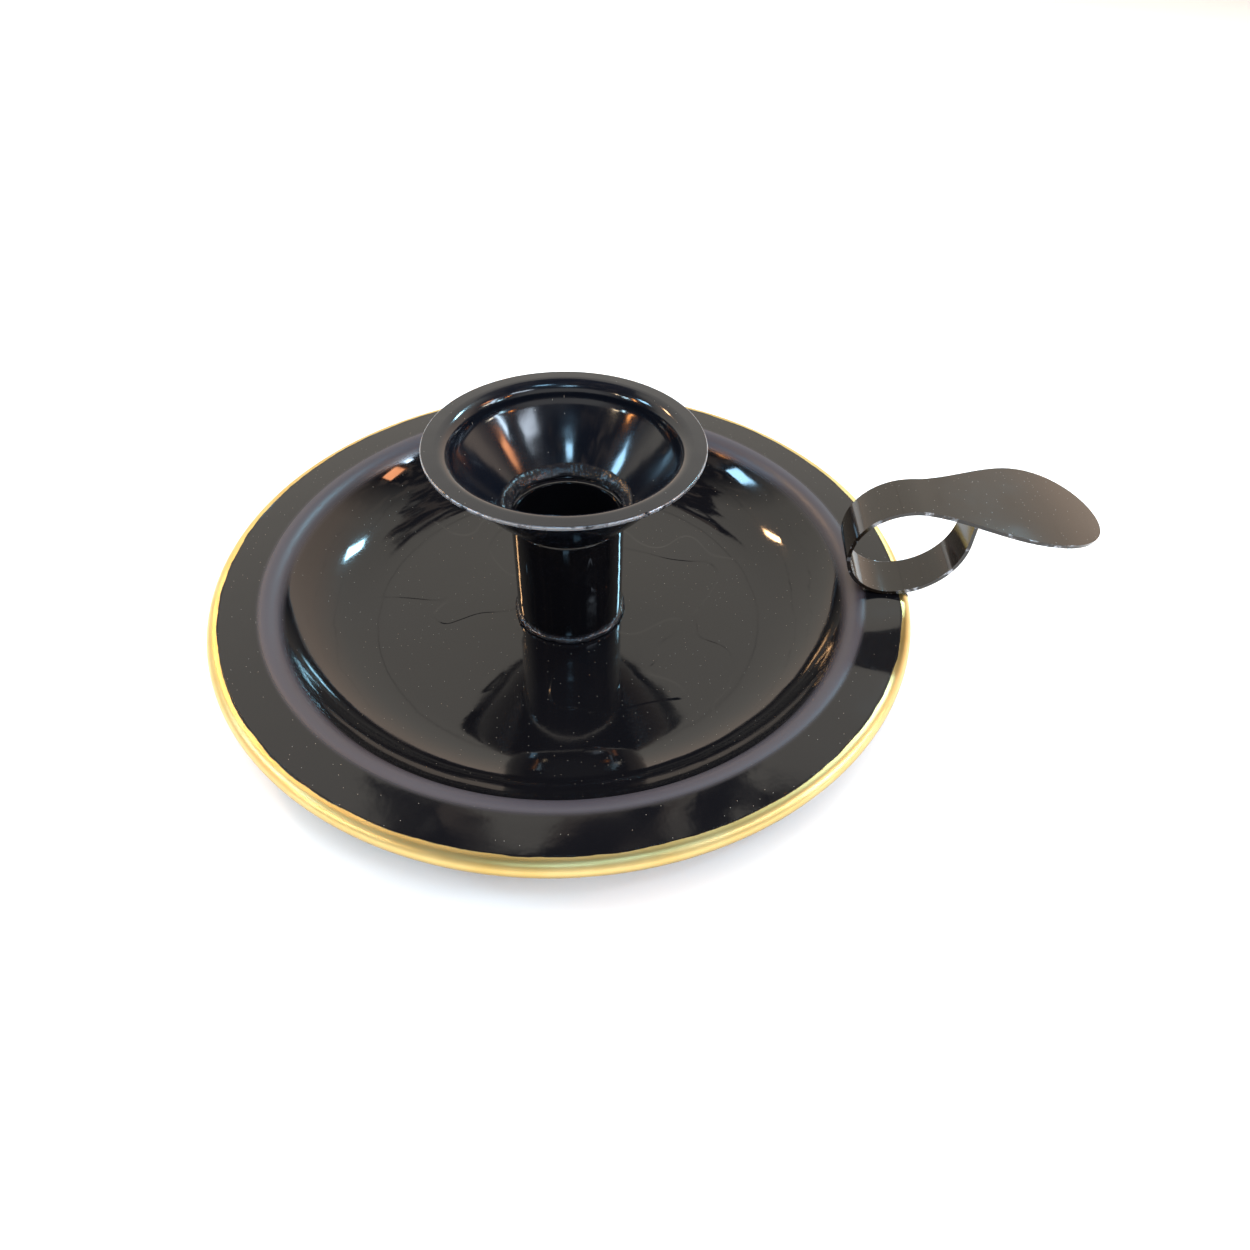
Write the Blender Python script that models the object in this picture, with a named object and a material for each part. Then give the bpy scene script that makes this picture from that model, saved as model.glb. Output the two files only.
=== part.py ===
"""Chamberstick: a low candlestick with a saucer, a candle socket with a drip cup, and a finger loop.

Metres, +Z up. The origin is the centre of the pan's underside, on the socket's axis.
The handle leaves the pan near +X. Run with: blender --background --python part.py
"""

from math import cos, pi, radians, sin, sqrt, tan

import bmesh
import bpy
from mathutils import Matrix, Vector

MM = 0.001

# Fits
JOINT_GAP = 0.3 * MM  # left between two pieces that touch
CANDLE_CLEARANCE = 0.3 * MM  # all round the candle in its bore

# Drip pan: one spun sheet
PAN_SHEET = 0.8 * MM
RIM_RADIUS = 76.0 * MM  # outermost edge of the rolled rim
PAN_DEPTH = 15.1 * MM  # brim's top face over the floor's
BRIM_WIDTH = 8.5 * MM  # from the shoulder to the middle of the rolled rim
SHOULDER_RADIUS = 4.0 * MM
WALL_ANGLE = 57.0  # degrees from level
CORNER_RADIUS = 26.0 * MM  # wide curve from the wall into the floor, limited by the wall
WALL_STRAIGHT = 0.5 * MM  # least height of straight wall left above the corner
DISH_ANGLE = 5.0  # slope of the dished floor where it meets the corner
REST_RADIUS = 22.0 * MM  # flat middle that the pan stands on

# Rolled brass rim and the wire inside it
ROLL_RADIUS = 2.0 * MM
ROLL_SHEET = 0.55 * MM
ROLL_TURN = 250.0  # degrees that the sheet wraps round the wire
ROLL_LIP = 0.5 * MM  # level start of the roll, beside the brim
WIRE_BUTT_GAP = 1.0 * MM

# Candle socket: a drawn tube with a closed bottom
CANDLE_DIAMETER = 22.2 * MM  # the common 7/8 inch taper
SOCKET_WALL = 0.8 * MM
SOCKET_LENGTH = 27.0 * MM
SOCKET_CORNER = 2.0 * MM  # outside radius of its closed bottom

# Drip cup on top of the socket: a funnel that turns up steeply, then out into a flange
CUP_SHEET = 1.0 * MM
CUP_RADIUS = 28.5 * MM
FLANGE_WIDTH = 2.5 * MM
LIP_RADIUS = 3.0 * MM  # bend from the flange down into the bowl
BOWL_SIDE_ANGLE = 84.0  # degrees from level, under the lip
BOWL_BEND_RADIUS = 5.0 * MM  # from the steep side into the funnel
FUNNEL_ANGLE = 43.5  # degrees from level, at the hole
FUNNEL_TURN = 13.0  # how much steeper the funnel gets on the way up

# Braze fillets
CUP_BRAZE_WIDTH = 3.2 * MM
CUP_BRAZE_THICKNESS = 0.5 * MM
STEM_BRAZE_WIDTH = 0.6 * MM
FOOT_BRAZE_HEIGHT = 1.7 * MM  # on the socket's side; the rim limits the outer one
FOOT_BRAZE_START = 0.5 * MM  # opening between strip and brim where the braze begins

# Handle: one flat strip, from the thumb rest's nose round the loop to its hidden end
STRIP_SHEET = 0.8 * MM
HANDLE_AZIMUTH = -8.6  # degrees
FOOT_INSET = 2.7 * MM  # from the middle of the rolled rim in to the loop's lowest line
THUMB_WIDTH = 25.6 * MM
NECK_WIDTH = 11.6 * MM
END_WIDTH = 8.8 * MM
NOSE_LENGTH = 14.0 * MM  # round nose of the thumb rest
NECK_LENGTH = 24.0 * MM  # from the widest place to the neck
NOSE_HEADING = 164.5  # degrees: the nose points out and a little down
THUMB_BENDS = ((18.1 * MM, 14.0), (18.6 * MM, 2.5))  # (length, degrees of turn)
LOOP_BENDS = (
    (7.7 * MM, 33.0), (13.0 * MM, 65.0), (15.3 * MM, 86.0), (16.2 * MM, 66.0), (4.9 * MM, 20.0)
)

# Facets
PAN_FACETS = 72
SOCKET_FACETS = 48
BEND_STEP = 12.0  # degrees of bend to one facet
PAN_STEP = 6.0  # the same, in the pan, whose curves are wider
ROLL_STEP = 20.0  # the same, round the rolled rim

# Worked out from the sizes above
FLOOR_Z = PAN_SHEET
BRIM_Z = FLOOR_Z + PAN_DEPTH
ROLL_CENTRE_RADIUS = RIM_RADIUS - ROLL_RADIUS
BRIM_START_RADIUS = ROLL_CENTRE_RADIUS - BRIM_WIDTH
FOOT_RADIUS = ROLL_CENTRE_RADIUS - FOOT_INSET
BORE_RADIUS = CANDLE_DIAMETER / 2 + CANDLE_CLEARANCE
SOCKET_RADIUS = BORE_RADIUS + SOCKET_WALL
SOCKET_BASE_Z = FLOOR_Z + JOINT_GAP
SOCKET_TOP_Z = SOCKET_BASE_Z + SOCKET_LENGTH
CUP_HOLE_RADIUS = BORE_RADIUS + SOCKET_WALL / 4
CUP_HOLE_Z = SOCKET_TOP_Z + JOINT_GAP + CUP_SHEET * cos(radians(FUNNEL_ANGLE))


def clear_scene():
    for thing in list(bpy.data.objects):
        bpy.data.objects.remove(thing, do_unlink=True)


def material(name, colour, metallic, roughness):
    made = bpy.data.materials.new(name)
    made.use_nodes = True
    shader = made.node_tree.nodes["Principled BSDF"]
    shader.inputs["Base Color"].default_value = (*colour, 1.0)
    shader.inputs["Metallic"].default_value = metallic
    shader.inputs["Roughness"].default_value = roughness
    made.diffuse_color = (*colour, 1.0)
    return made


def black_lacquer(name):
    return material(name, (0.010, 0.010, 0.013), 0.0, 0.12)


# Sections: outlines in (radius, height), drawn as lines that run straight or turn evenly


def arc(radius, turn):
    """A bend as (length, degrees of turn)."""
    return radius * abs(radians(turn)), turn


def bent_line(start, heading, bends, step=BEND_STEP):
    """Points and headings along a line: each bend is (length, degrees of turn), 0 for straight."""
    point, angle = Vector(start), radians(heading)
    points, headings = [point.copy()], [angle]
    for length, turn in bends:
        steps = max(1, round(abs(turn) / step))
        for _ in range(steps):
            half = radians(turn) / steps / 2
            chord = length / steps * (sin(half) / half if turn else 1.0)
            point = point + chord * Vector((cos(angle + half), sin(angle + half)))
            angle += 2 * half
            points.append(point.copy())
            headings.append(angle)
    return points, headings


def beside(points, headings, distance):
    """The same line moved sideways, to the right of the way it runs."""
    return [p + distance * Vector((sin(a), -cos(a))) for p, a in zip(points, headings)]


def sheet_section(points, headings, thickness):
    """The outline of a sheet whose left face follows the line."""
    return points + beside(points, headings, thickness)[::-1]


def finish(name, mesh, surface):
    bmesh.ops.recalc_face_normals(mesh, faces=mesh.faces)
    data = bpy.data.meshes.new(name)
    mesh.to_mesh(data)
    mesh.free()
    data.polygons.foreach_set("use_smooth", [True] * len(data.polygons))
    data.set_sharp_from_angle(angle=radians(40))
    data.materials.append(surface)
    made = bpy.data.objects.new(name, data)
    bpy.context.scene.collection.objects.link(made)
    return made


def spun(name, section, facets, surface):
    """A section turned once round Z. One that starts and ends on the axis stays open there."""
    mesh = bmesh.new()
    ring = [mesh.verts.new((r, 0, z)) for r, z in section]
    on_axis = ring[0].co.x < 1e-9
    pairs = list(zip(ring, ring[1:] if on_axis else ring[1:] + ring[:1]))
    edges = [mesh.edges.new(pair) for pair in pairs]
    bmesh.ops.spin(
        mesh, geom=ring + edges, cent=(0, 0, 0), axis=(0, 0, 1), angle=2 * pi, steps=facets,
        use_merge=True,
    )
    bmesh.ops.remove_doubles(mesh, verts=mesh.verts, dist=1e-6)
    return finish(name, mesh, surface)


# Drip pan and its rolled rim


def corner_radius():
    """The corner's radius, or the largest that leaves its wall WALL_STRAIGHT high."""
    wall, dish = radians(WALL_ANGLE), radians(DISH_ANGLE)
    lift = tan(dish / 2)
    reach = BRIM_START_RADIUS - SHOULDER_RADIUS * sin(wall) - WALL_STRAIGHT / tan(wall) - REST_RADIUS
    rise = PAN_DEPTH - WALL_STRAIGHT - SHOULDER_RADIUS * (1 - cos(wall)) - lift * reach
    return min(CORNER_RADIUS, rise / (cos(dish) - cos(wall) - lift * (sin(wall) - sin(dish))))


def corner_start_radius():
    """Radius where the dished floor ends, so that floor, corner, wall and shoulder fill the depth."""
    wall, dish = radians(WALL_ANGLE), radians(DISH_ANGLE)
    corner = corner_radius()
    rise = PAN_DEPTH - corner * (cos(dish) - cos(wall)) - SHOULDER_RADIUS * (1 - cos(wall))
    run = BRIM_START_RADIUS - SHOULDER_RADIUS * sin(wall) - corner * (sin(wall) - sin(dish))
    lift = tan(dish / 2)
    return (run - (rise + REST_RADIUS * lift) / tan(wall)) / (1 - lift / tan(wall))


def pan_line():
    """The pan's top face, from the middle to the edge of the brim."""
    wall, dish = radians(WALL_ANGLE), radians(DISH_ANGLE)
    dish_width = corner_start_radius() - REST_RADIUS
    dish_radius = dish_width / sin(dish)
    corner = corner_radius()
    corner_rise = corner * (cos(dish) - cos(wall))
    shoulder_drop = SHOULDER_RADIUS * (1 - cos(wall))
    wall_rise = PAN_DEPTH - dish_width * tan(dish / 2) - corner_rise - shoulder_drop
    dish_steps = 3
    bends = [(REST_RADIUS, 0.0)]
    bends += [arc(dish_radius, DISH_ANGLE / dish_steps)] * dish_steps
    bends += [arc(corner, WALL_ANGLE - DISH_ANGLE), (wall_rise / sin(wall), 0.0)]
    bends += [arc(SHOULDER_RADIUS, -WALL_ANGLE)]
    points, headings = bent_line((0, FLOOR_Z), 0, bends, PAN_STEP)
    points.append(Vector((ROLL_CENTRE_RADIUS - ROLL_LIP - JOINT_GAP, BRIM_Z)))
    return points, headings + [0.0]


def make_drip_pan():
    points, headings = pan_line()
    section = sheet_section(points, headings, PAN_SHEET)
    spun("drip_pan", section, PAN_FACETS, black_lacquer("pan_lacquer"))


def make_rim_bead():
    """The brass edge: level beside the brim, then rolled out, down and under round the wire."""
    start = (ROLL_CENTRE_RADIUS - ROLL_LIP, BRIM_Z)
    points, headings = bent_line(start, 0, [(ROLL_LIP, 0.0), arc(ROLL_RADIUS, -ROLL_TURN)], ROLL_STEP)
    brass = material("rim_brass", (0.76, 0.55, 0.20), 1.0, 0.28)
    spun("rim_bead", sheet_section(points, headings, ROLL_SHEET), PAN_FACETS, brass)


def make_rim_wire():
    """The wire in the rolled rim: a ring whose ends don't quite meet, on the side away from the loop."""
    mesh = bmesh.new()
    middle = Matrix.Translation((ROLL_CENTRE_RADIUS, 0, BRIM_Z - ROLL_RADIUS))
    section = bmesh.ops.create_circle(
        mesh, cap_ends=True, segments=8, radius=ROLL_RADIUS - ROLL_SHEET - JOINT_GAP,
        matrix=middle @ Matrix.Rotation(pi / 2, 4, "X"),
    )
    butt = WIRE_BUTT_GAP / ROLL_CENTRE_RADIUS
    bmesh.ops.rotate(mesh, verts=section["verts"], matrix=Matrix.Rotation(pi + butt / 2, 3, "Z"))
    bmesh.ops.spin(
        mesh, geom=mesh.verts[:] + mesh.edges[:] + mesh.faces[:], cent=(0, 0, 0), axis=(0, 0, 1),
        angle=2 * pi - butt, steps=PAN_FACETS,
    )
    finish("rim_wire", mesh, material("wire_steel", (0.42, 0.40, 0.38), 1.0, 0.45))


# Candle socket and drip cup


def make_candle_socket():
    """Drawn from one disc: flat bottom, round corner, straight tube. The sheet lies inside the line."""
    bends = [(SOCKET_RADIUS - SOCKET_CORNER, 0.0), arc(SOCKET_CORNER, 90.0)]
    bends += [(SOCKET_LENGTH - SOCKET_CORNER, 0.0)]
    points, headings = bent_line((0, SOCKET_BASE_Z), 0, bends, 22.5)
    section = sheet_section(points, headings, -SOCKET_WALL)
    spun("candle_socket", section, SOCKET_FACETS, black_lacquer("socket_lacquer"))


def cup_line():
    """The cup's inner face: from the hole up the funnel and the steep side, then out to the flange."""
    low, high = radians(FUNNEL_ANGLE), radians(FUNNEL_ANGLE + FUNNEL_TURN)
    side = radians(BOWL_SIDE_ANGLE)
    bend_reach = BOWL_BEND_RADIUS * (sin(side) - sin(high))
    funnel_reach = CUP_RADIUS - FLANGE_WIDTH - LIP_RADIUS * sin(side) - bend_reach - CUP_HOLE_RADIUS
    funnel_length = funnel_reach * (high - low) / (sin(high) - sin(low))
    bends = [(funnel_length, FUNNEL_TURN)]
    bends += [arc(BOWL_BEND_RADIUS, BOWL_SIDE_ANGLE - FUNNEL_ANGLE - FUNNEL_TURN)]
    bends += [arc(LIP_RADIUS, -BOWL_SIDE_ANGLE), (FLANGE_WIDTH - CUP_SHEET / 2, 0.0)]
    return bent_line((CUP_HOLE_RADIUS, CUP_HOLE_Z), FUNNEL_ANGLE, bends)


def make_drip_cup():
    points, headings = cup_line()
    edge_points, _ = bent_line(points[-1], 0, [arc(CUP_SHEET / 2, -180.0)], 45)
    section = points + edge_points[1:-1] + beside(points, headings, CUP_SHEET)[::-1]
    spun("drip_cup", section, SOCKET_FACETS, black_lacquer("cup_lacquer"))


def make_cup_braze():
    """The ring of braze in the bottom of the bowl, round the mouth of the socket."""
    start, upper = cup_line()[0][:2]
    along = (upper - start).normalized()
    off = Vector((-along.y, along.x))
    shape = ((0.2, 0.0), (1.0, 0.0), (0.86, 0.75), (0.5, 1.0), (0.2, 0.7))
    places = [(CUP_BRAZE_WIDTH * a, JOINT_GAP + CUP_BRAZE_THICKNESS * t) for a, t in shape]
    section = [start + along * reach + off * height for reach, height in places]
    spun("cup_braze", section, SOCKET_FACETS, black_lacquer("cup_braze_lacquer"))


def make_stem_braze():
    """The ring of braze in the notch between the socket's round corner and the pan's floor."""
    corner = Vector((SOCKET_RADIUS - SOCKET_CORNER, SOCKET_BASE_Z + SOCKET_CORNER))
    reach, base = SOCKET_CORNER + JOINT_GAP, FLOOR_Z + JOINT_GAP
    notch = [corner + reach * Vector((cos(radians(a)), -sin(radians(a)))) for a in (0, 20, 40, 58)]
    toe = notch[0].x + STEM_BRAZE_WIDTH
    section = notch + [(notch[-1].x, base), (toe, base)]
    section += [(toe - STEM_BRAZE_WIDTH / 4, base + SOCKET_CORNER * 0.4)]
    section += [(notch[0].x + STEM_BRAZE_WIDTH / 3, base + SOCKET_CORNER * 0.8)]
    spun("stem_braze", section, SOCKET_FACETS, black_lacquer("stem_braze_lacquer"))


# Handle


def handle_line():
    """The strip's middle line in (reach, height): nose, thumb rest, round the loop, up to its end."""
    points, headings = bent_line((0, 0), NOSE_HEADING, THUMB_BENDS + LOOP_BENDS)
    lowest = min(range(len(points)), key=lambda i: points[i].y)
    shift = Vector((FOOT_RADIUS, BRIM_Z + JOINT_GAP + STRIP_SHEET / 2)) - points[lowest]
    points = [p + shift for p in points]
    thumb = sum(max(1, round(turn / BEND_STEP)) for _, turn in THUMB_BENDS)
    under_thumb = points[thumb].y - STRIP_SHEET / 2 - JOINT_GAP
    climb = (under_thumb - points[-1].y) / sin(headings[-1])
    points.append(points[-1] + climb * Vector((cos(headings[-1]), sin(headings[-1]))))
    return points, headings + headings[-1:], lowest


def strip_width(run, length):
    """Width of the strip at a distance from the nose: round nose, then a neck, then an even taper."""
    if run < NOSE_LENGTH:
        return max(THUMB_WIDTH * sqrt(1 - (1 - run / NOSE_LENGTH) ** 2), 3.0 * MM)
    if run < NOSE_LENGTH + NECK_LENGTH:
        along = (run - NOSE_LENGTH) / NECK_LENGTH
        return THUMB_WIDTH + (NECK_WIDTH - THUMB_WIDTH) * along * along * (3 - 2 * along)
    along = (run - NOSE_LENGTH - NECK_LENGTH) / (length - NOSE_LENGTH - NECK_LENGTH)
    return NECK_WIDTH + (END_WIDTH - NECK_WIDTH) * along


def stations():
    """The strip's middle line again, as even short steps: (point, heading, distance from the nose)."""
    points, headings, _ = handle_line()
    found, run = [], 0.0
    for i in range(len(points) - 1):
        length = (points[i + 1] - points[i]).length
        steps = max(1, round(length / (2.2 * MM)))
        for k in range(steps):
            share = k / steps
            heading = headings[i] + (headings[i + 1] - headings[i]) * share
            found.append((points[i].lerp(points[i + 1], share), heading, run + length * share))
        run += length
    return found + [(points[-1], headings[-1], run)]


def make_handle_strip():
    rows = stations()
    across = 4
    mesh = bmesh.new()
    bmesh.ops.create_grid(mesh, x_segments=len(rows) - 1, y_segments=across, size=1.0)
    for vert in mesh.verts:
        row = rows[round((vert.co.x + 1) / 2 * (len(rows) - 1))]
        side = vert.co.y / 2 * strip_width(row[2], rows[-1][2])
        vert.co = (row[0].x, side, row[0].y)
    bmesh.ops.rotate(mesh, verts=mesh.verts, matrix=Matrix.Rotation(radians(HANDLE_AZIMUTH), 3, "Z"))
    strip = finish("handle_strip", mesh, black_lacquer("handle_lacquer"))
    solid = strip.modifiers.new("sheet", "SOLIDIFY")
    solid.thickness, solid.offset = STRIP_SHEET, 0.0
    eased = strip.modifiers.new("eased_edges", "BEVEL")
    eased.width, eased.segments, eased.limit_method = 0.15 * MM, 1, "ANGLE"
    eased.angle_limit = radians(60)


def where(line, axis, value):
    """The first place along a line where its reach (axis 0) or height (axis 1) has a value."""
    for a, b in zip(line, line[1:]):
        if a[axis] != b[axis] and (a[axis] - value) * (b[axis] - value) <= 0:
            return a.lerp(b, (value - a[axis]) / (b[axis] - a[axis]))
    return line[-1]


def foot_braze_outline(side):
    """The opening between brim and strip, in (reach, height): -1 inside the foot, 1 outside it."""
    points, headings, lowest = handle_line()
    under = beside(points, headings, STRIP_SHEET / 2 + JOINT_GAP)
    line = under[lowest:][:8] if side > 0 else under[: lowest + 1][::-1][:8]
    base = BRIM_Z + JOINT_GAP
    if side > 0:
        start = where(line, 1, base + FOOT_BRAZE_START / 2)
        end = where(line, 0, RIM_RADIUS - JOINT_GAP)
        toe = end.x
    else:
        start = where(line, 1, base + FOOT_BRAZE_START)
        end = where(line, 1, base + FOOT_BRAZE_HEIGHT)
        toe = max(end.x, BRIM_START_RADIUS)
    middle = where(line, 0, (start.x + end.x) / 2)
    return [Vector((start.x, base)), start, middle, end, Vector((toe, base))]


def make_foot_braze(name, side):
    mesh = bmesh.new()
    half = END_WIDTH / 2 - 0.4 * MM
    face = mesh.faces.new([mesh.verts.new((p.x, -half, p.y)) for p in foot_braze_outline(side)])
    grown = bmesh.ops.extrude_face_region(mesh, geom=[face])
    moved = [v for v in grown["geom"] if isinstance(v, bmesh.types.BMVert)]
    bmesh.ops.translate(mesh, verts=moved, vec=(0, 2 * half, 0))
    bmesh.ops.rotate(mesh, verts=mesh.verts, matrix=Matrix.Rotation(radians(HANDLE_AZIMUTH), 3, "Z"))
    finish(name, mesh, black_lacquer(name + "_lacquer"))


def main():
    clear_scene()
    make_drip_pan()
    make_rim_bead()
    make_rim_wire()
    make_candle_socket()
    make_drip_cup()
    make_cup_braze()
    make_stem_braze()
    make_handle_strip()
    make_foot_braze("handle_braze_inner", -1)
    make_foot_braze("handle_braze_outer", 1)


main()
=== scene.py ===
# %% [markdown]
# # A black-lacquered chamberstick with a brass rim
# A chamberstick is the low candlestick that people carried up to bed. This one is spun from
# thin sheet: a saucer that catches the wax, a socket for the candle with a drip cup round its
# mouth, and a strip of the same sheet curled into a finger loop. Everything is black lacquer
# except the rolled rim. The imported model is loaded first, because every size comes from it.

from math import cos, pi, radians, sin, sqrt, tan

import bmesh
import bpy
from mathutils import Matrix, Vector, noise


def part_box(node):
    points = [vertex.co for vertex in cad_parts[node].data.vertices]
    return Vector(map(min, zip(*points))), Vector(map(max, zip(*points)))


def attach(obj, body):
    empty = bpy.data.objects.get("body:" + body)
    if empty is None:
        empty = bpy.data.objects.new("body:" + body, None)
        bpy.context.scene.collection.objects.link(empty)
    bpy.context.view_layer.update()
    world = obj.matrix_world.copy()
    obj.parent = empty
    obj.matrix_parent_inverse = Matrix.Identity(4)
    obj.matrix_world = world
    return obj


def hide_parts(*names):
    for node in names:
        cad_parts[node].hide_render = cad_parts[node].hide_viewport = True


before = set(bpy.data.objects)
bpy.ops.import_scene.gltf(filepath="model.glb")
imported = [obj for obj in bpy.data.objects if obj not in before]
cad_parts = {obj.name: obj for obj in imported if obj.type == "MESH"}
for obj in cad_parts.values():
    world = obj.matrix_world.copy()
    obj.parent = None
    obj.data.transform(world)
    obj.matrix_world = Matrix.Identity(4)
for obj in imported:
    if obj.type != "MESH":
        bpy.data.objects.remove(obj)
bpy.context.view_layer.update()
MM = 0.001

# %% [markdown]
# ## Measuring what the pieces have to fit
# A spun piece needs only a few heights and radii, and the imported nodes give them. The rest are
# the sheet gauges and bend angles that a spinner would know by heart.

# %% Measure the frame
BRIM_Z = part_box("rim_bead")[1].z
RIM_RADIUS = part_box("rim_bead")[1].y
SOCKET_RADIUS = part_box("candle_socket")[1].y
SOCKET_BASE_Z, SOCKET_TOP_Z = (corner.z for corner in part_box("candle_socket"))
CUP_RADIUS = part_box("drip_cup")[1].y
GAP = 0.3 * MM
print(f"brim {BRIM_Z / MM:.1f}, rim {RIM_RADIUS / MM:.1f}, cup {CUP_RADIUS / MM:.1f} mm")

# %% [markdown]
# ## The camera
# It stands close to the object and looks down at it by about 43 degrees, so the near rim is
# drawn larger than the far one. The small shift sets the object a little off the middle, as
# it is when a camera is held in the hand.

# %% Camera
camera_data = bpy.data.cameras.new("camera")
camera_data.lens, camera_data.sensor_width = 23.04, 36.0
camera_data.shift_x, camera_data.shift_y = -0.00805, -0.02365
camera_data.clip_start = 0.01
camera = bpy.data.objects.new("camera", camera_data)
camera.location = (0.0, -0.13857, 0.13333)
camera.rotation_euler = (radians(46.975), radians(-1.962), radians(-4.532))
bpy.context.scene.collection.objects.link(camera)
bpy.context.scene.camera = camera
bpy.context.scene.view_settings.view_transform = "Standard"
print("camera", tuple(round(v, 3) for v in camera.location))

# %% [markdown]
# ## Colours and nodes
# Colours are written as people read them, in hex, and turned to the linear values that the
# renderer counts in. One helper adds a shader node: settings go in by name, and each input is
# a number, a colour or another node's output.


# %% Helpers for materials
def linear(code):
    """An sRGB hex colour as linear RGBA."""
    parts = [int(code[i : i + 2], 16) / 255 for i in (1, 3, 5)]
    return (*[c / 12.92 if c <= 0.04045 else ((c + 0.055) / 1.055) ** 2.4 for c in parts], 1.0)


def add(tree, kind, inputs=(), **settings):
    """One node: kind without its ShaderNode prefix, inputs as {name or number: value or output}."""
    node = tree.nodes.new("ShaderNode" + kind)
    for key, value in settings.items():
        setattr(node, key, value)
    for key, value in dict(inputs).items():
        if isinstance(value, bpy.types.NodeSocket):
            tree.links.new(value, node.inputs[key])
        else:
            node.inputs[key].default_value = value
    return node


def new_material(name):
    """An empty material: its tree, its Principled shader and its Object coordinates."""
    made = bpy.data.materials.new(name)
    made.use_nodes = True
    shader = made.node_tree.nodes["Principled BSDF"]
    place = add(made.node_tree, "TexCoord").outputs["Object"]
    return made, made.node_tree, shader, place


def per_metre(size_mm):
    """The Scale that makes a texture's features about size_mm across."""
    return 1 / (size_mm * MM)


print("linear mid grey", [round(c, 3) for c in linear("#808080")[:3]])

# %% [markdown]
# ## Black lacquer
# The sheet was dipped or sprayed with a black stoving lacquer and left as it dried. It is a
# clear, glossy film over black, so nearly all that the eye gets is reflections. What makes it
# look real is how they are bent: a slow waviness some millimetres long, tide lines where the
# wet film stopped flowing, and a few specks of dust.


# %% Lacquer building blocks
def radius_from_axis(tree, place):
    flat = add(tree, "VectorMath", {0: place, 1: (1.0, 1.0, 0.0)}, operation="MULTIPLY")
    return add(tree, "VectorMath", {0: flat.outputs[0]}, operation="LENGTH").outputs["Value"]


def band(tree, value, low, high, soft):
    """1 between low and high, fading to 0 over soft on each side."""
    rise = add(
        tree, "MapRange", {"Value": value, 1: low - soft, 2: low}, interpolation_type="SMOOTHSTEP"
    )
    fall = add(
        tree, "MapRange", {"Value": value, 1: high + soft, 2: high}, interpolation_type="SMOOTHSTEP"
    )
    both = add(tree, "Math", {0: rise.outputs[0], 1: fall.outputs[0]}, operation="MULTIPLY")
    return both.outputs[0]


def peel(tree, place, wave_mm=10.0, wave_um=55.0, grain_mm=1.5, grain_um=4.0):
    """Orange peel: a long wave and a fine one, as a bump whose heights are real."""
    wave = add(tree, "TexNoise", {"Vector": place, "Scale": per_metre(wave_mm), "Detail": 1.0})
    grain = add(tree, "TexNoise", {"Vector": place, "Scale": per_metre(grain_mm), "Detail": 1.0})
    first = add(
        tree, "Bump", {"Height": wave.outputs["Fac"], "Strength": 1.0, "Distance": wave_um * 1e-6}
    )
    second = add(
        tree, "Bump",
        {"Height": grain.outputs["Fac"], "Distance": grain_um * 1e-6, "Normal": first.outputs["Normal"]},
    )
    return second.outputs["Normal"]


def specks(tree, place, spacing_mm, size_mm, share):
    """Dust that fell from above: a mask of small specks. share is how many cells hold one."""
    cells = add(
        tree, "TexVoronoi", {"Vector": place, "Scale": per_metre(spacing_mm)},
        voronoi_dimensions="2D",
    )
    dot = add(
        tree, "MapRange",
        {"Value": cells.outputs["Distance"], 1: 0.5 * size_mm / spacing_mm, 2: 0.0, 3: 0.0, 4: 1.0},
    )
    pick = add(tree, "SeparateColor", {"Color": cells.outputs["Color"]})
    held = add(tree, "Math", {0: pick.outputs["Red"], 1: 1 - share}, operation="GREATER_THAN")
    return add(
        tree, "Math", {0: dot.outputs["Result"], 1: held.outputs[0]}, operation="MULTIPLY"
    ).outputs[0]


def tide_lines(tree, place, size_mm, normal, depth_um=60.0):
    """Where the wet film stopped: a step along a wandering line, drawn deeper than a real one.
    It is only on the floor, where the lacquer pooled."""
    pool = add(
        tree, "TexNoise",
        {"Vector": place, "Scale": per_metre(size_mm), "Detail": 1.0, "Distortion": 0.5},
    )
    step = add(
        tree, "MapRange", {"Value": pool.outputs["Fac"], 1: 0.505, 2: 0.525},
        interpolation_type="SMOOTHSTEP",
    )
    pooled = band(tree, radius_from_axis(tree, place), 0.0, 40.0 * MM, 9.0 * MM)
    height = add(tree, "Math", {0: step.outputs["Result"], 1: pooled}, operation="MULTIPLY")
    return add(
        tree, "Bump",
        {"Height": height.outputs[0], "Distance": depth_um * 1e-6, "Normal": normal},
    ).outputs["Normal"]


# The third colour here is not a lacquer of its own: it is a painted sheen for the pan's shoulder.
BLACK, DUST, SHOULDER_SHEEN, BARE = "#0c0c0f", "#8a8378", "#37343b", "#9b9da3"
print("lacquer", BLACK)
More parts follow.
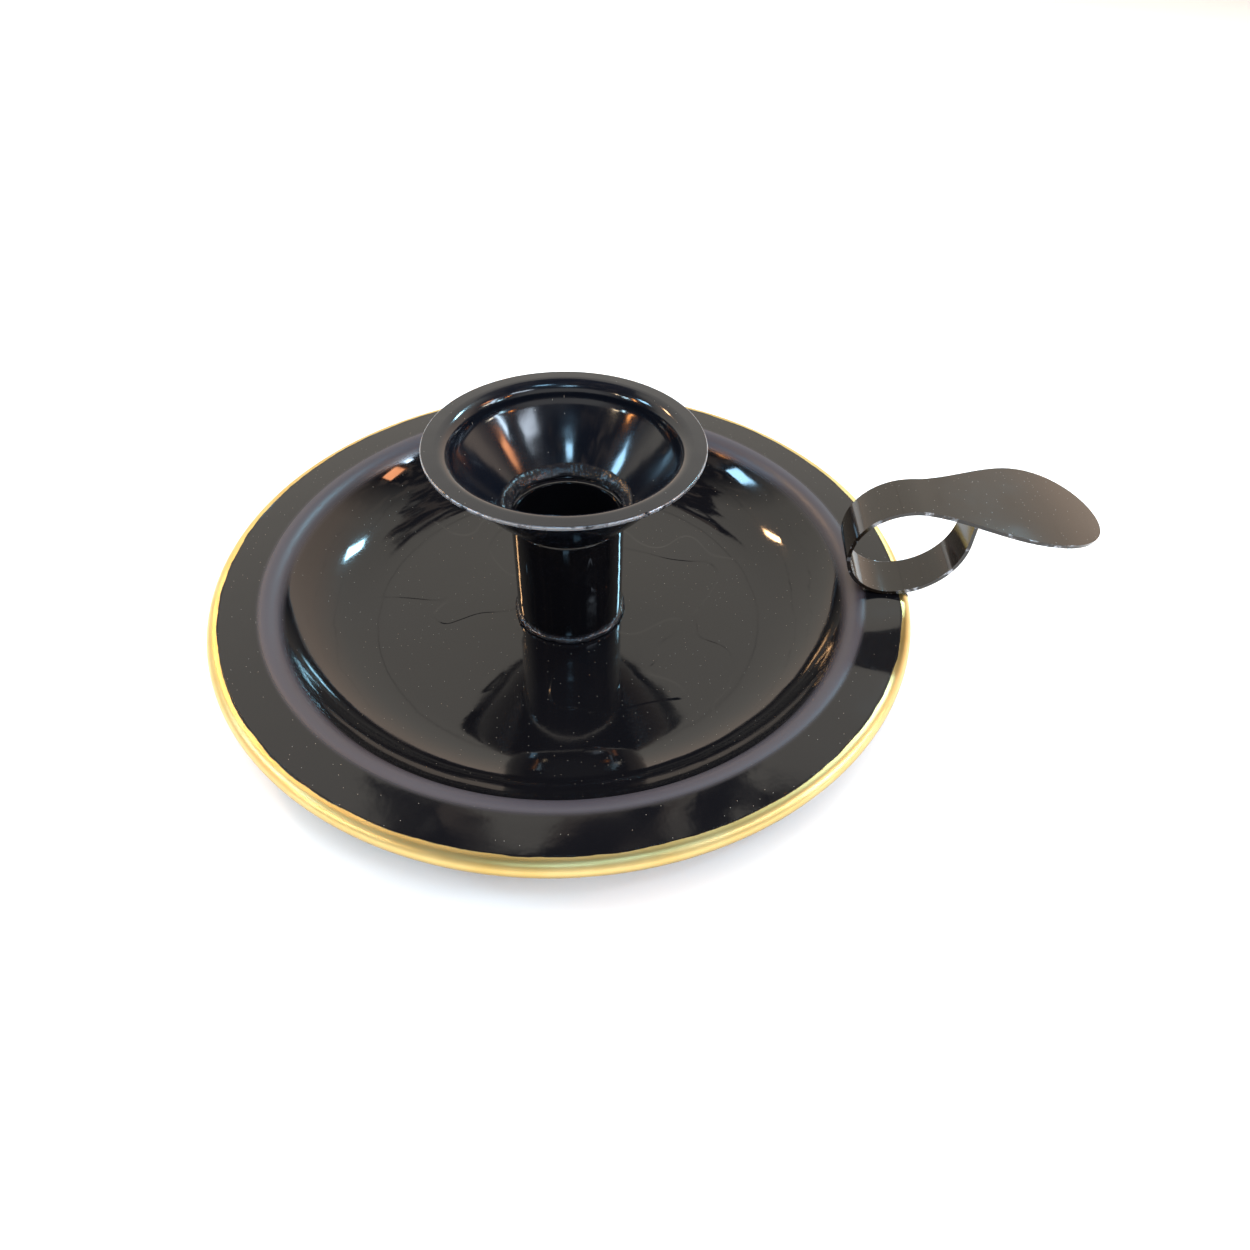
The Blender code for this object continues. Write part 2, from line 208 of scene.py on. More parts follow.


# %% [markdown]
# The pan's lacquer has one thing more. Its shoulder is where sleeves and cloths do their rubbing, so the gloss
# there is dulled to a soft band, and that band is painted a lighter purple-grey: a painted sheen that stands for
# the little light the shoulder catches all the way round.


# %% Pan lacquer
def lacquer(
    name, dust_share=0.10, sheen_ring=None, tide_mm=None, black=BLACK, gloss=(0.045, 0.11), edge=None,
    kept=0.36, wave=(10.0, 55.0),
):
    """Glossy black stoving lacquer over sheet metal. The ring (low, high, soft) given for the shoulder is dulled
    and painted a lighter colour, a painted sheen; edge makes a mask of where the lacquer can wear through to the
    sheet, and a higher kept keeps more of it."""
    made, tree, shader, place = new_material(name)
    normal = peel(tree, place, *wave)
    if tide_mm:
        normal = tide_lines(tree, place, tide_mm, normal)
    dust = specks(tree, place, 1.3, 0.19, dust_share)
    colour = add(tree, "Mix", {0: dust, 6: linear(black), 7: linear(DUST)}, data_type="RGBA")
    cloud = add(tree, "TexNoise", {"Vector": place, "Scale": per_metre(14.0), "Detail": 3.0})
    rough = add(
        tree, "MapRange", {"Value": cloud.outputs["Fac"], 1: 0.35, 2: 0.7, 3: gloss[0], 4: gloss[1]}
    )
    gloss, shade = rough.outputs[0], colour.outputs[2]
    # Painted sheen: on the shoulder ring the colour is mixed towards a lighter purple-grey that stands for light
    # caught there, and the gloss is dulled.
    if sheen_ring:
        sheen_band = band(tree, radius_from_axis(tree, place), *sheen_ring)
        gloss = add(tree, "Mix", {0: sheen_band, 2: gloss, 3: 0.42}).outputs[0]
        shade = add(tree, "Mix", {0: sheen_band, 6: shade, 7: linear(SHOULDER_SHEEN)}, data_type="RGBA").outputs[2]
    gloss = add(tree, "Math", {0: gloss, 1: dust}, operation="MAXIMUM").outputs[0]
    if edge:
        chips = add(tree, "TexNoise", {"Vector": place, "Scale": per_metre(2.4), "Detail": 3.0})
        left = add(tree, "MapRange", {"Value": chips.outputs["Fac"], 1: kept, 2: kept + 0.12})
        bare = add(
            tree, "Math", {0: edge(tree, place), 1: left.outputs[0]}, operation="MULTIPLY"
        ).outputs[0]
        shade = add(tree, "Mix", {0: bare, 6: shade, 7: linear(BARE)}, data_type="RGBA").outputs[2]
        gloss = add(tree, "Mix", {0: bare, 2: gloss, 3: 0.32}).outputs[0]
        tree.links.new(bare, shader.inputs["Metallic"])
    tree.links.new(shade, shader.inputs["Base Color"])
    tree.links.new(gloss, shader.inputs["Roughness"])
    tree.links.new(normal, shader.inputs["Normal"])
    shader.inputs["IOR"].default_value = 1.52
    return made


# The shoulder ring, 62.4 to 65.2 mm from the axis, gets the dulled gloss and the painted sheen.
pan_lacquer = lacquer(
    "black_stoving_lacquer_pan", sheen_ring=(62.4 * MM, 65.2 * MM, 1.4 * MM), tide_mm=26.0
)
socket_lacquer = lacquer("black_stoving_lacquer_socket", dust_share=0.0, wave=(4.5, 60.0))


def cup_edge(tree, place):
    reach = radius_from_axis(tree, place)
    return add(
        tree, "MapRange", {"Value": reach, 1: CUP_RADIUS - 0.24 * MM, 2: CUP_RADIUS - 0.12 * MM}
    ).outputs[0]


def strip_edge(tree, place):
    """The handle's own attribute says how far each point is from the edge of its strip."""
    inset = add(tree, "Attribute", attribute_name="from_edge").outputs["Fac"]
    return add(tree, "MapRange", {"Value": inset, 1: 0.16, 2: 0.06}).outputs[0]


cup_lacquer = lacquer(
    "black_stoving_lacquer_cup", 0.04, black="#0b0e15", gloss=(0.10, 0.20), edge=cup_edge, wave=(7.0, 90.0)
)
handle_lacquer = lacquer(
    "black_stoving_lacquer_handle", 0.22, black="#1a1511", gloss=(0.07, 0.15), edge=strip_edge, kept=0.54
)
print(
    "lacquers:", [m.name for m in bpy.data.materials if "lacquer" in m.name and "stoving" in m.name]
)

# %% [markdown]
# ## Brass
# The rim is yellow brass, rolled and then rubbed bright, so it is satin and not a mirror. The
# lacquer was masked by hand and its edge wanders a little over the metal.


# %% Rim brass
# The third brass colour is painted shade for the underside of the roll.
BRASS, BRASS_DEEP, BRASS_PAINTED_SHADE = "#e4cf95", "#caab62", "#9c8040"
LACQUER_EDGE = RIM_RADIUS - 2.35 * MM


def satin_brass():
    made, tree, shader, place = new_material("satin_yellow_brass")
    tone = add(tree, "TexNoise", {"Vector": place, "Scale": per_metre(9.0), "Detail": 3.0})
    metal = add(
        tree, "Mix", {0: tone.outputs["Fac"], 6: linear(BRASS), 7: linear(BRASS_DEEP)}, data_type="RGBA"
    )
    level = add(tree, "SeparateXYZ", {0: place})
    # Painted shade: from 1 mm to 2.6 mm below the brim, the brass fades into a darker colour for the underside of
    # the roll.
    under = add(
        tree, "MapRange", {"Value": level.outputs["Z"], 1: BRIM_Z - 1.0 * MM, 2: BRIM_Z - 2.6 * MM}
    )
    metal = add(
        tree, "Mix", {0: under.outputs[0], 6: metal.outputs[2], 7: linear(BRASS_PAINTED_SHADE)}, data_type="RGBA"
    )
    rag = add(tree, "TexNoise", {"Vector": place, "Scale": per_metre(6.0), "Detail": 4.0})
    wander = add(tree, "MapRange", {"Value": rag.outputs["Fac"], 3: -0.4 * MM, 4: 0.4 * MM})
    line = add(
        tree, "Math", {0: radius_from_axis(tree, place), 1: wander.outputs[0]}, operation="ADD"
    )
    bare = add(
        tree, "MapRange", {"Value": line.outputs[0], 1: LACQUER_EDGE, 2: LACQUER_EDGE + 0.12 * MM}
    )
    top = add(tree, "Math", {0: level.outputs["Z"], 1: BRIM_Z - 1.2 * MM}, operation="LESS_THAN")
    brass = add(tree, "Math", {0: bare.outputs[0], 1: top.outputs[0]}, operation="MAXIMUM")
    shade = add(
        tree, "Mix", {0: brass.outputs[0], 6: linear(BLACK), 7: metal.outputs[2]}, data_type="RGBA"
    )
    rough = add(tree, "MapRange", {"Value": brass.outputs[0], 3: 0.1, 4: 0.40})
    tree.links.new(shade.outputs[2], shader.inputs["Base Color"])
    tree.links.new(brass.outputs[0], shader.inputs["Metallic"])
    tree.links.new(rough.outputs[0], shader.inputs["Roughness"])
    tree.links.new(peel(tree, place, 5.0, 5.0, 0.6, 1.2), shader.inputs["Normal"])
    return made


brass = satin_brass()
print("brass", BRASS, "lacquer edge at radius", round(LACQUER_EDGE / MM, 2), "mm")

# %% [markdown]
# ## Lacquer over braze, and plain wire
# Braze that has been left as it froze is grainy, like wet sugar. Lacquer over it keeps the grain
# and glitters. The wire inside the rim was never meant to be seen and is plain drawn steel.


# %% Braze lacquer and steel
def braze_lacquer():
    made, tree, shader, place = new_material("black_lacquer_over_grainy_braze")
    grit = add(tree, "TexNoise", {"Vector": place, "Scale": per_metre(0.45), "Detail": 2.0})
    bump = add(tree, "Bump", {"Height": grit.outputs["Fac"], "Distance": 0.12 * MM})
    tree.links.new(bump.outputs["Normal"], shader.inputs["Normal"])
    shader.inputs["Base Color"].default_value = linear("#17171b")
    shader.inputs["Roughness"].default_value = 0.16
    shader.inputs["IOR"].default_value = 1.52
    return made


def drawn_steel():
    made, tree, shader, place = new_material("drawn_steel_wire")
    tone = add(tree, "TexNoise", {"Vector": place, "Scale": per_metre(2.0), "Detail": 2.0})
    shade = add(
        tree, "Mix", {0: tone.outputs["Fac"], 6: linear("#8d8a86"), 7: linear("#6f6b66")}, data_type="RGBA"
    )
    tree.links.new(shade.outputs[2], shader.inputs["Base Color"])
    shader.inputs["Metallic"].default_value = 1.0
    shader.inputs["Roughness"].default_value = 0.42
    return made


grainy, steel = braze_lacquer(), drawn_steel()
print("braze and wire:", grainy.name, steel.name)

# %% [markdown]
# ## Drawing a section
# Every round piece is one line turned about the candle's axis. The line is drawn as a spinner
# reads a drawing: run straight for so far, then turn by so many degrees at such a radius. Both
# are bmesh operators on a single moving vertex, so each bend is a true arc.


# %% Section lines
class Section:
    """A wire in the XZ plane, drawn from its tip. Headings are degrees up from +X."""

    def __init__(self, radius, height, heading=0.0):
        self.mesh, self.heading = bmesh.new(), radians(heading)
        self.tip = self.mesh.verts.new((radius, 0, height))

    def run(self, length, steps=1):
        for _ in range(steps):
            grown = bmesh.ops.extrude_vert_indiv(self.mesh, verts=[self.tip])
            self.tip = grown["verts"][0]
            way = Vector((cos(self.heading), 0, sin(self.heading)))
            bmesh.ops.translate(self.mesh, verts=[self.tip], vec=way * (length / steps))
        return self

    def turn(self, radius, degrees, step=4.0):
        side = 1 if degrees > 0 else -1
        inward = Vector((-sin(self.heading), 0, cos(self.heading))) * side
        swept = bmesh.ops.spin(
            self.mesh, geom=[self.tip], cent=self.tip.co + inward * radius, axis=(0, -side, 0),
            angle=radians(abs(degrees)), steps=max(2, round(abs(degrees) / step)),
        )
        self.tip = [v for v in swept["geom_last"] if isinstance(v, bmesh.types.BMVert)][0]
        self.heading += radians(degrees)
        return self


ROUND = 256
print("one full turn is", ROUND, "steps")


# %% [markdown]
# Turning the line once round makes an open skin. Its doubles are merged and its faces are pointed
# the right way before Solidify gives it the sheet's thickness, and a small bevel eases the edges.


# %% Turning and thickening
def turned(section, facing):
    """The section spun about Z. facing(face) is above 0 for a face that points the right way."""
    mesh = section.mesh
    bmesh.ops.spin(
        mesh, geom=mesh.verts[:] + mesh.edges[:], cent=(0, 0, 0), axis=(0, 0, 1),
        angle=2 * pi, steps=ROUND, use_merge=True,
    )
    bmesh.ops.remove_doubles(mesh, verts=mesh.verts, dist=1e-7)
    bmesh.ops.recalc_face_normals(mesh, faces=mesh.faces)
    if sum(facing(face) * face.calc_area() for face in mesh.faces) < 0:
        bmesh.ops.reverse_faces(mesh, faces=mesh.faces)
    return mesh


def upward(face):
    return face.normal.z


def outward(face):
    centre = face.calc_center_median()
    return face.normal.x * centre.x + face.normal.y * centre.y


def piece(name, mesh, material, nodes):
    """The finished object, standing for its CAD nodes and riding on the only body."""
    data = bpy.data.meshes.new(name)
    mesh.to_mesh(data)
    mesh.free()
    data.polygons.foreach_set("use_smooth", [True] * len(data.polygons))
    data.materials.append(material)
    made = bpy.data.objects.new(name, data)
    bpy.context.scene.collection.objects.link(made)
    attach(made, "root")
    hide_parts(*nodes)
    print(name, len(data.polygons), "faces")
    return made


def thicken(made, thickness, offset=-1.0, ease=0.15 * MM):
    """Sheet gauge behind the skin, with its cut edges eased."""
    sheet = made.modifiers.new("sheet", "SOLIDIFY")
    sheet.thickness, sheet.offset, sheet.use_even_offset = thickness, offset, True
    eased = made.modifiers.new("eased_edges", "BEVEL")
    eased.width, eased.segments, eased.limit_method = ease, 2, "ANGLE"
    eased.angle_limit, eased.harden_normals = radians(50), True


# %% [markdown]
# ## The drip pan
# One disc of sheet, spun over a former: a flat middle that it stands on, a floor dished just
# enough to bring wax back to the middle, a round corner, a sloping wall, a shoulder and a level
# brim. The corner's radius from the axis follows from the rest, as the wall has to reach the brim.

# %% Drip pan
PAN_SHEET, ROLL_RADIUS, BRIM_WIDTH = 0.8 * MM, 2.0 * MM, 8.5 * MM
SHOULDER, CORNER, REST = 4.0 * MM, 26.0 * MM, 22.0 * MM
WALL, DISH = radians(57.0), radians(5.0)
ROLL_CENTRE = RIM_RADIUS - ROLL_RADIUS
PAN_DEPTH = BRIM_Z - PAN_SHEET


def drip_pan():
    corner_rise = CORNER * (cos(DISH) - cos(WALL))
    shoulder_drop = SHOULDER * (1 - cos(WALL))
    lift = tan(DISH / 2)
    across = ROLL_CENTRE - BRIM_WIDTH - SHOULDER * sin(WALL) - CORNER * (sin(WALL) - sin(DISH))
    rise = PAN_DEPTH - corner_rise - shoulder_drop
    dish_end = (across - (rise + REST * lift) / tan(WALL)) / (1 - lift / tan(WALL))
    dish_width = dish_end - REST
    wall_rise = rise - dish_width * lift
    line = Section(0, PAN_SHEET).run(REST, 6).turn(dish_width / sin(DISH), 5.0, 0.5)
    line.turn(CORNER, 52.0, 1.5).run(wall_rise / sin(WALL), 2).turn(SHOULDER, -57.0, 3.0)
    line.run(ROLL_CENTRE - 0.5 * MM - line.tip.co.x - 0.04 * MM, 3)
    made = piece("drip_pan_spun", turned(line, upward), pan_lacquer, ["drip_pan"])
    thicken(made, PAN_SHEET, ease=0.03 * MM)


drip_pan()

# %% [markdown]
# ## The rolled rim
# The edge is rolled over a wire, which makes a thin sheet stiff and safe to hold. The roll is
# left open underneath, where it doesn't show.


# %% Rolled rim
def rolled_rim():
    line = Section(ROLL_CENTRE - 0.5 * MM, BRIM_Z).run(0.5 * MM).turn(ROLL_RADIUS, -250.0, 7.0)
    mesh = turned(line, outward)
    made = piece("rim_rolled", mesh, brass, ["rim_bead"])
    thicken(made, 0.55 * MM, ease=0.08 * MM)


rolled_rim()
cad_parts["rim_wire"].data.materials.clear()
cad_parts["rim_wire"].data.materials.append(steel)

# %% [markdown]
# ## The candle socket
# A cup drawn from one disc, with a closed bottom, so wax that gets past the candle stays in it.


# %% Candle socket
SOCKET_WALL, SOCKET_CORNER = 0.8 * MM, 2.0 * MM


def candle_socket():
    line = Section(0, SOCKET_BASE_Z).run(SOCKET_RADIUS - SOCKET_CORNER, 3).turn(SOCKET_CORNER, 90.0, 9.0)
    line.run(SOCKET_TOP_Z - SOCKET_BASE_Z - SOCKET_CORNER, 8)
    mesh = turned(line, outward)
    made = piece("socket_drawn", mesh, socket_lacquer, ["candle_socket"])
    thicken(made, SOCKET_WALL, ease=0.12 * MM)


candle_socket()

# %% [markdown]
# ## The drip cup
# A funnel that gets steeper, turns up into a short straight side, and rolls out over a lip into
# a narrow level flange. The funnel's length follows from the width that is left for it.

# %% Drip cup
CUP_SHEET, FLANGE, LIP, BOWL_BEND = 1.0 * MM, 2.5 * MM, 3.0 * MM, 5.0 * MM
FUNNEL_LOW, FUNNEL_HIGH, BOWL_SIDE = 43.5, 56.5, 84.0
CUP_HOLE_RADIUS = SOCKET_RADIUS - 0.75 * SOCKET_WALL
CUP_HOLE_Z = SOCKET_TOP_Z + GAP + CUP_SHEET * cos(radians(FUNNEL_LOW))


def drip_cup():
    low, high, side = (radians(a) for a in (FUNNEL_LOW, FUNNEL_HIGH, BOWL_SIDE))
    reach = CUP_RADIUS - FLANGE - LIP * sin(side) - BOWL_BEND * (sin(side) - sin(high)) - CUP_HOLE_RADIUS
    funnel_radius = reach / (sin(high) - sin(low))
    line = Section(CUP_HOLE_RADIUS, CUP_HOLE_Z, FUNNEL_LOW)
    line.turn(funnel_radius, FUNNEL_HIGH - FUNNEL_LOW, 1.0).turn(BOWL_BEND, BOWL_SIDE - FUNNEL_HIGH, 3.0)
    line.turn(LIP, -BOWL_SIDE, 4.0).run(FLANGE, 2)
    mesh = turned(line, upward)
    made = piece("drip_cup_spun", mesh, cup_lacquer, ["drip_cup"])
    thicken(made, CUP_SHEET, ease=0.3 * MM)


drip_cup()

# %% [markdown]
# ## Rings of braze
# Each ring starts as a smooth bead of braze. Its points are then pushed in and out along their
# normals by two sizes of noise, which gives the lumps a shape and not only a shading.


# %% Braze rings
def lumpy(mesh, coarse_mm, coarse_um, fine_mm, fine_um):
    mesh.normal_update()
    for vert in mesh.verts:
        push = noise.noise(vert.co / (coarse_mm * MM)) * coarse_um + noise.noise(vert.co / (fine_mm * MM)) * fine_um
        vert.co += vert.normal * push * 1e-6


def braze_ring(name, middle, along, half_width, height, node):
    """A flattened round bead, its section lying along a sloping surface."""
    mesh = bmesh.new()
    place = Matrix.Translation((middle[0], 0, middle[1])) @ Matrix.Rotation(-along, 4, "Y")
    stretch = Matrix.Diagonal((half_width, 1, height, 1))
    bmesh.ops.create_circle(
        mesh, segments=14, radius=1.0, matrix=place @ stretch @ Matrix.Rotation(pi / 2, 4, "X")
    )
    bmesh.ops.spin(
        mesh, geom=mesh.verts[:] + mesh.edges[:], cent=(0, 0, 0), axis=(0, 0, 1),
        angle=2 * pi, steps=420, use_merge=True,
    )
    bmesh.ops.remove_doubles(mesh, verts=mesh.verts, dist=1e-7)
    bmesh.ops.recalc_face_normals(mesh, faces=mesh.faces)
    lumpy(mesh, 2.2, 260, 0.6, 190)
    piece(name, mesh, grainy, [node])


slope = radians(FUNNEL_LOW + 2)
braze_ring(
    "braze_in_cup", (CUP_HOLE_RADIUS + 1.3 * MM, CUP_HOLE_Z + 1.5 * MM), slope, 1.7 * MM, 0.5 * MM,
    "cup_braze",
)
braze_ring(
    "braze_at_stem", (SOCKET_RADIUS, SOCKET_BASE_Z + 0.45 * MM), radians(-40), 0.85 * MM, 0.6 * MM,
    "stem_braze",
)

# %% [markdown]
# ## The handle
# It was cut flat, as a spatula shape, and then bent over rods. It is made the same way here: a
# flat blank with a round nose, laid along a line that turns evenly from bend to bend. The packed
# strip bends in facets of 12 degrees, and its lowest facet is the one that stands on the brim.

# %% Handle line
STRIP, NOSE, NECK = 0.8 * MM, 14.0 * MM, 24.0 * MM
THUMB_WIDTH, NECK_WIDTH, END_WIDTH = 25.6 * MM, 11.6 * MM, 8.8 * MM
THUMB_BENDS = ((18.1 * MM, 14.0), (18.6 * MM, 2.5))
LOOP_BENDS = (
    (7.7 * MM, 33.0), (13.0 * MM, 65.0), (15.3 * MM, 86.0), (16.2 * MM, 66.0), (4.9 * MM, 20.0)
)
HANDLE_TURN = radians(-8.6)
FOOT_RADIUS = ROLL_CENTRE - 2.7 * MM


def walk(bends, run, heading=radians(164.5)):
    """Place and heading at a distance from the nose, along bends of (length, degrees)."""
    point = Vector((0.0, 0.0))
    for length, turn in bends:
        part = min(run, length)
        swing = radians(turn) * part / length
        chord = part * (sin(swing / 2) / (swing / 2) if abs(swing) > 1e-9 else 1.0)
        point += chord * Vector((cos(heading + swing / 2), sin(heading + swing / 2)))
        heading, run = heading + swing, run - part
        if run <= 0:
            break
    return point, heading


BENDS = THUMB_BENDS + LOOP_BENDS
BENT = sum(length for length, _ in BENDS)
FACET_TURN = 12.0
FACETS, reached = [0.0], 0.0
for length, turn in BENDS:
    steps = max(1, round(turn / FACET_TURN))
    FACETS += [reached + length * (k + 1) / steps for k in range(steps)]
    reached += length
LOWEST = min((walk(BENDS, run)[0] for run in FACETS), key=lambda p: p.y)
THUMB_END = walk(BENDS, sum(length for length, _ in THUMB_BENDS))[0]
LOOP_END, END_HEADING = walk(BENDS, BENT)
CLIMB = (THUMB_END.y - LOOP_END.y - STRIP - GAP) / sin(END_HEADING)
BENDS += ((CLIMB, 0.0),)
STRIP_LENGTH = BENT + CLIMB
SHIFT = Vector((FOOT_RADIUS, BRIM_Z + GAP + STRIP / 2)) - LOWEST
print(f"strip {STRIP_LENGTH / MM:.1f} mm long")


# %% Handle strip
def strip_width(run):
    if run < NOSE:
        return max(THUMB_WIDTH * sqrt(max(0.0, 1 - (1 - run / NOSE) ** 2)), 0.6 * MM)
    if run < NOSE + NECK:
        share = (run - NOSE) / NECK
        return THUMB_WIDTH + (NECK_WIDTH - THUMB_WIDTH) * share * share * (3 - 2 * share)
    return NECK_WIDTH + (END_WIDTH - NECK_WIDTH) * (run - NOSE - NECK) / (STRIP_LENGTH - NOSE - NECK)


def handle_strip():
    nose_rows, body_rows, across = 28, 190, 16
    rows = nose_rows + body_rows
    mesh = bmesh.new()
    bmesh.ops.create_grid(mesh, x_segments=rows, y_segments=across, size=1.0)
    from_edge = mesh.verts.layers.float.new("from_edge")
    for vert in mesh.verts:
        row = round((vert.co.x + 1) / 2 * rows)
        if row < nose_rows:
            run = NOSE * (1 - cos(pi / 2 * row / nose_rows))
        else:
            run = NOSE + (STRIP_LENGTH - NOSE) * (row - nose_rows) / body_rows
        point, _ = walk(BENDS, run)
        side = vert.co.y / 2 * strip_width(run)
        vert[from_edge] = min(strip_width(run) / 2 - abs(side), run) / MM
        vert.co = (point.x + SHIFT.x, side, point.y + SHIFT.y)
    bmesh.ops.rotate(mesh, verts=mesh.verts, matrix=Matrix.Rotation(HANDLE_TURN, 3, "Z"))
    bmesh.ops.recalc_face_normals(mesh, faces=mesh.faces)
    made = piece("handle_bent", mesh, handle_lacquer, ["handle_strip"])
    thicken(made, STRIP, offset=0.0, ease=0.18 * MM)


handle_strip()

# %% [markdown]
# ## Braze at the handle's foot
# The strip touches the brim along one line only. Braze has filled the narrow opening on both
# sides of it, so each fillet is a wedge that follows the strip's underside.


# %% Foot braze
def foot_braze(name, side, start, end, node):
    """A block of braze squeezed under the strip, between two distances from the line of contact."""
    length, turn = LOOP_BENDS[2] if side < 0 else LOOP_BENDS[3]
    under = length / radians(turn) + STRIP / 2
    half = END_WIDTH / 2 - 0.2 * MM
    mesh = bmesh.new()
    bmesh.ops.create_cube(mesh, size=1.0, matrix=Matrix.Translation((0.5, 0, 0.5)))
    bmesh.ops.subdivide_edges(mesh, edges=mesh.edges, cuts=23, use_grid_fill=True)
    for vert in mesh.verts:
        share, level = vert.co.x, vert.co.z
        away = start + (end - start) * share
        roof = GAP + 0.1 * MM + under - sqrt(under * under - away * away)
        hollow = 0.9 * MM * share * 4 * level * (1 - level) * share
        reach = FOOT_RADIUS + side * (away - hollow)
        drop = 0.0
        if reach > ROLL_CENTRE:
            drop = ROLL_RADIUS - sqrt(
                max(0.0, ROLL_RADIUS**2 - min(reach - ROLL_CENTRE, ROLL_RADIUS) ** 2)
            )
        vert.co = (reach, vert.co.y * 2 * half, BRIM_Z - drop + (roof + drop) * level)
    bmesh.ops.smooth_vert(
        mesh, verts=mesh.verts, factor=0.5, use_axis_x=True, use_axis_y=True, use_axis_z=True
    )
    bmesh.ops.recalc_face_normals(mesh, faces=mesh.faces)
    lumpy(mesh, 1.6, 120, 0.5, 90)
    bmesh.ops.rotate(mesh, verts=mesh.verts, matrix=Matrix.Rotation(HANDLE_TURN, 3, "Z"))
    piece(name, mesh, grainy, [node])


foot_braze(
    "braze_foot_inner", -1, 2.0 * MM, 5.8 * MM, "handle_braze_inner"
)
foot_braze(
    "braze_foot_outer", 1, 1.0 * MM, 4.4 * MM, "handle_braze_outer"
)

# %% [markdown]
# ## Floor and light
# Gloss black shows the room more than itself. A broad soft ceiling behind the object gives the
# brown-grey sheen on the level faces, the dark overhead keeps the near brim black, and a few
# small lamps, some cool and some warm, give the sparks in the bowl and on the wall.


# %% Floor
def floor():
    mesh = bmesh.new()
    bmesh.ops.create_grid(mesh, x_segments=1, y_segments=1, size=4.0)
    data = bpy.data.meshes.new("floor")
    mesh.to_mesh(data)
    mesh.free()
    made, _, shader, _ = new_material("white_paper")
    shader.inputs["Base Color"].default_value = linear("#f4f3f1")
    shader.inputs["Roughness"].default_value = 0.9
    data.materials.append(made)
    plane = bpy.data.objects.new("floor", data)
    bpy.context.scene.collection.objects.link(plane)


floor()
print("floor at height 0")


# %% Ceiling
CEILING_LOW, CEILING_HIGH = -0.05, 0.81  # height of the way it is seen in, 1 is overhead
BAY = 0.42  # from one joint between its panels to the next


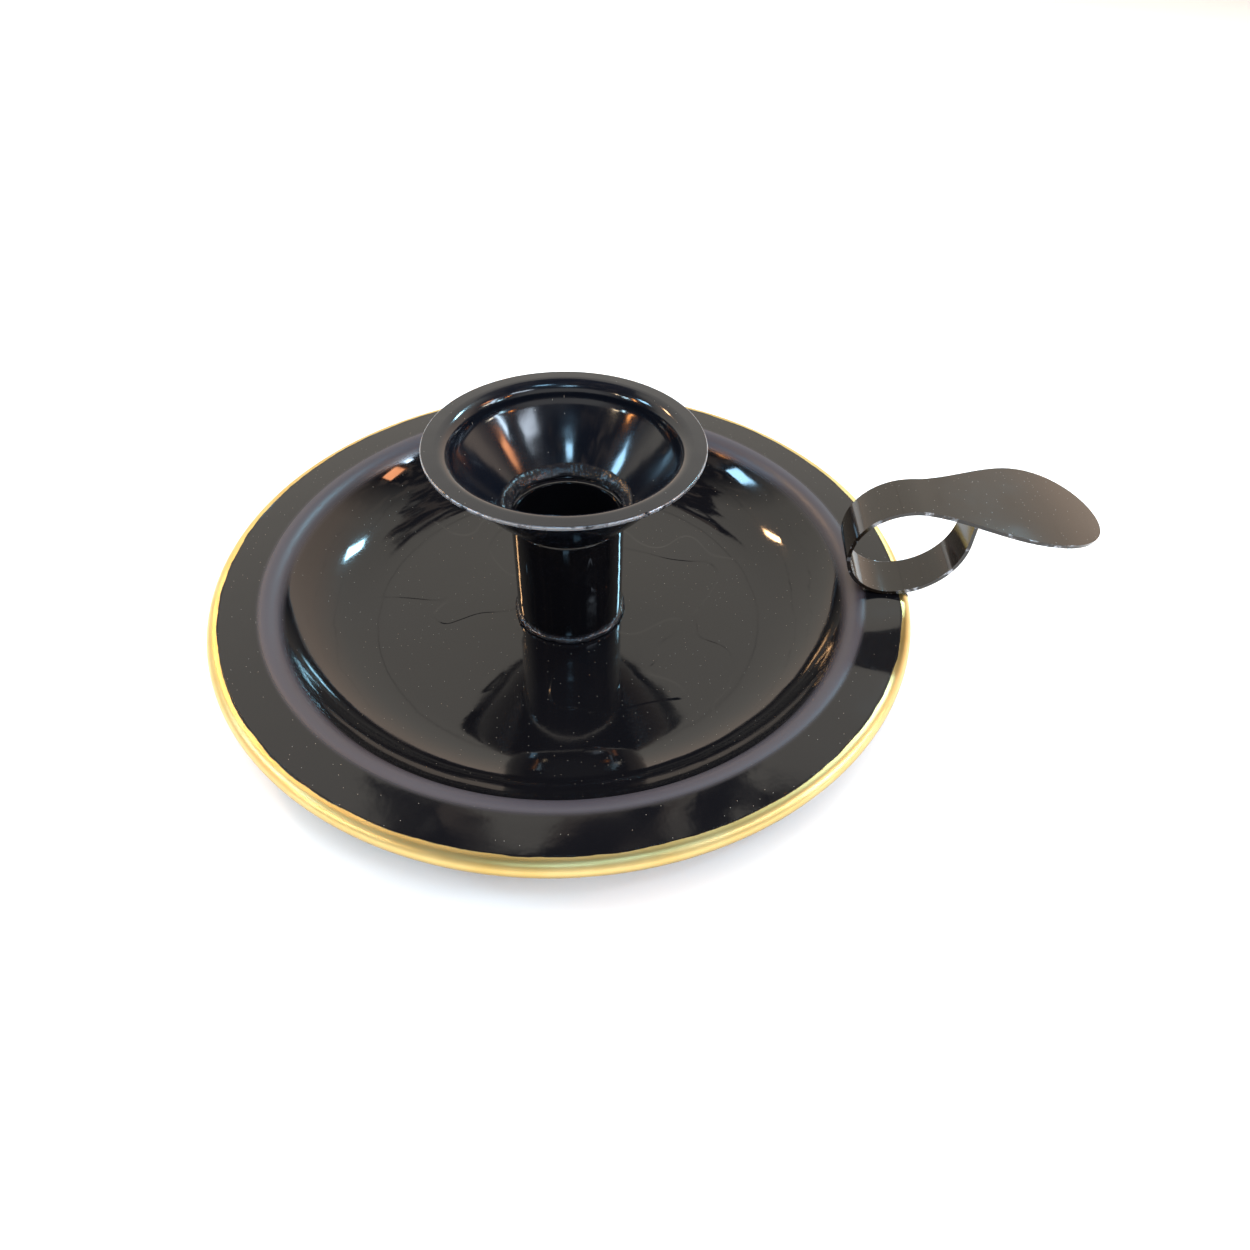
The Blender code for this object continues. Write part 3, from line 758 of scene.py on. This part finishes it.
def ceiling():
    world = bpy.data.worlds.new("studio")
    bpy.context.scene.world = world
    world.use_nodes = True
    tree = world.node_tree
    way = add(tree, "TexCoord").outputs["Generated"]
    parts = add(tree, "SeparateXYZ", {0: way})
    mottle = add(tree, "TexNoise", {"Vector": way, "Scale": 6.0, "Detail": 4.0})
    wobble = add(tree, "MapRange", {"Value": mottle.outputs["Fac"], 3: -0.17, 4: 0.13})
    height = add(tree, "Math", {0: parts.outputs["Z"], 1: wobble.outputs[0]}, operation="ADD")
    lit = band(tree, height.outputs[0], CEILING_LOW, CEILING_HIGH, 0.025)
    behind = add(tree, "MapRange", {"Value": parts.outputs["Y"], 1: -0.05, 2: 0.3})
    across = add(tree, "Math", {0: parts.outputs["X"], 1: height.outputs[0]}, operation="DIVIDE")
    bay = add(tree, "Math", {0: across.outputs[0], 1: BAY}, operation="PINGPONG")
    joint = add(tree, "MapRange", {"Value": bay.outputs[0], 1: 0.0, 2: 0.012, 3: 0.55, 4: 1.0})
    panels = add(tree, "Math", {0: behind.outputs[0], 1: joint.outputs[0]}, operation="MULTIPLY")
    soft = add(tree, "Math", {0: lit, 1: panels.outputs[0]}, operation="MULTIPLY")
    lean = add(
        tree, "Math", {0: parts.outputs["X"], 1: -0.4, 2: parts.outputs["Z"]},
        operation="MULTIPLY_ADD",
    )
    rise = add(tree, "MapRange", {"Value": lean.outputs[0], 1: 0.05, 2: 0.42})
    warm = add(
        tree, "Mix", {0: rise.outputs[0], 6: (1.5, 1.2, 0.97, 1), 7: (1.22, 1.14, 1.00, 1)}, data_type="RGBA"
    )
    dim = linear("#26262c")
    ducts = add(tree, "TexNoise", {"Vector": way, "Scale": 7.0, "Detail": 2.0, "Distortion": 1.6})
    duct = add(tree, "MapRange", {"Value": ducts.outputs["Fac"], 1: 0.55, 2: 0.60})
    above = add(
        tree, "Mix", {0: duct.outputs[0], 6: dim, 7: (0.50, 0.40, 0.33, 1)}, data_type="RGBA"
    )
    shade = add(
        tree, "Mix", {0: soft.outputs[0], 6: above.outputs[2], 7: warm.outputs[2]}, data_type="RGBA"
    )
    low = band(tree, parts.outputs["Z"], 0.08, 0.46, 0.12)
    facing = add(tree, "MapRange", {"Value": parts.outputs["Y"], 1: -0.45, 2: -0.8})
    front = add(tree, "Math", {0: low, 1: facing.outputs[0]}, operation="MULTIPLY")
    shade = add(
        tree, "Mix", {0: front.outputs[0], 6: shade.outputs[2], 7: (0.95, 0.93, 0.90, 1)},
        data_type="RGBA",
    )
    seen = add(tree, "LightPath").outputs["Is Camera Ray"]
    shown = add(tree, "Mix", {0: seen, 6: shade.outputs[2], 7: linear("#fbfaf9")}, data_type="RGBA")
    tree.links.new(shown.outputs[2], tree.nodes["Background"].inputs["Color"])


ceiling()
print("ceiling behind the object, dark overhead")


# %% Lamps
def lamp(name, azimuth, elevation, size, tint, power, distance=1.0, seen=True):
    """A soft square lamp that looks at the object. Azimuth 0 is behind it (+Y), 90 is +X."""
    data = bpy.data.lights.new(name, "AREA")
    data.shape, data.size, data.size_y = "RECTANGLE", size[0], size[1]
    data.color, data.energy = linear(tint)[:3], power
    made = bpy.data.objects.new(name, data)
    a, e = radians(azimuth), radians(elevation)
    way = Vector((sin(a) * cos(e), cos(a) * cos(e), sin(e)))
    made.location = way * distance
    made.rotation_euler = way.to_track_quat("Z", "Y").to_euler()
    made.visible_camera, made.visible_glossy = False, seen
    bpy.context.scene.collection.objects.link(made)


lamp("overhead_fill", 0, 90, (2.4, 2.4), "#fffdfa", 48, 1.6, seen=False)
lamp("cool_right", 106, 25, (0.05, 0.30), "#cfe8ff", 2.2)
lamp("cool_right_low", 114, 17, (0.03, 0.12), "#bfe9ff", 0.9)
lamp("spot_right", 99, 20, (0.05, 0.05), "#fff2dc", 0.7)
lamp("warm_right", 96, 34, (0.12, 0.12), "#ffa874", 0.9)
lamp("warm_right_low", 122, 27, (0.04, 0.04), "#ff9a4a", 0.5)
lamp("cool_left", -90, 36, (0.16, 0.14), "#a8dcff", 2.2)
lamp("cool_left_low", -116, 22, (0.03, 0.16), "#c8ecff", 1.0)
lamp("warm_left", -106, 24, (0.04, 0.22), "#ffa65c", 1.2)
lamp("spot_left", -124, 30, (0.05, 0.05), "#ffe3bc", 0.6)
lamp("edge_right", 134, 40, (0.30, 0.10), "#dfeeff", 1.6)
lamp("edge_front", 186, 52, (0.12, 0.10), "#a9dcff", 1.1)
lamp("cool_top", 150, 66, (0.14, 0.08), "#9fd8ff", 1.0)
lamp("cool_behind", 46, 42, (0.07, 0.12), "#a8e4ff", 3.6)
lamp("warm_behind", -48, 42, (0.05, 0.12), "#ffc68c", 2.0)
